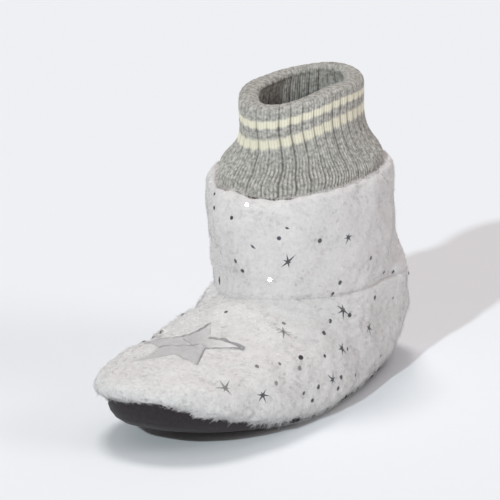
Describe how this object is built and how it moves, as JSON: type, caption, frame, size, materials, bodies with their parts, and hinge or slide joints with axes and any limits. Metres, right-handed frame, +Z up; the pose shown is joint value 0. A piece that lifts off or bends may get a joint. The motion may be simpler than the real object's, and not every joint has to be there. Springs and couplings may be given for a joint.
{
  "type": "slipper",
  "caption": "Plush ankle slipper boot: hollow fleece foot and shaft, ribbed knit cuff with two stripes, sewn star on the vamp and a padded textile sole with toe spring",
  "frame": {"origin": "centre of the slipper's box on the floor that its sole stands on", "axes": "-Y is the way the toe points, +X is the outer side of the left foot, +Z is up"},
  "size_m": [0.1072, 0.2631, 0.1757],
  "materials": {
    "sole_textile": "matte charcoal woven textile",
    "insole_fleece": "brushed fleece",
    "foot_plush": "soft pale grey pile",
    "shaft_plush": "short pale grey nap",
    "rib_knit": "heather grey rib with cream stripes",
    "star_velour": "smooth grey velour"
  },
  "bodies": {
    "root": {"sole": "sole_textile", "insole": "insole_fleece", "upper": "foot_plush", "shaft": "shaft_plush", "cuff": "rib_knit", "star_patch": "star_velour"}
  },
  "joints": []
}
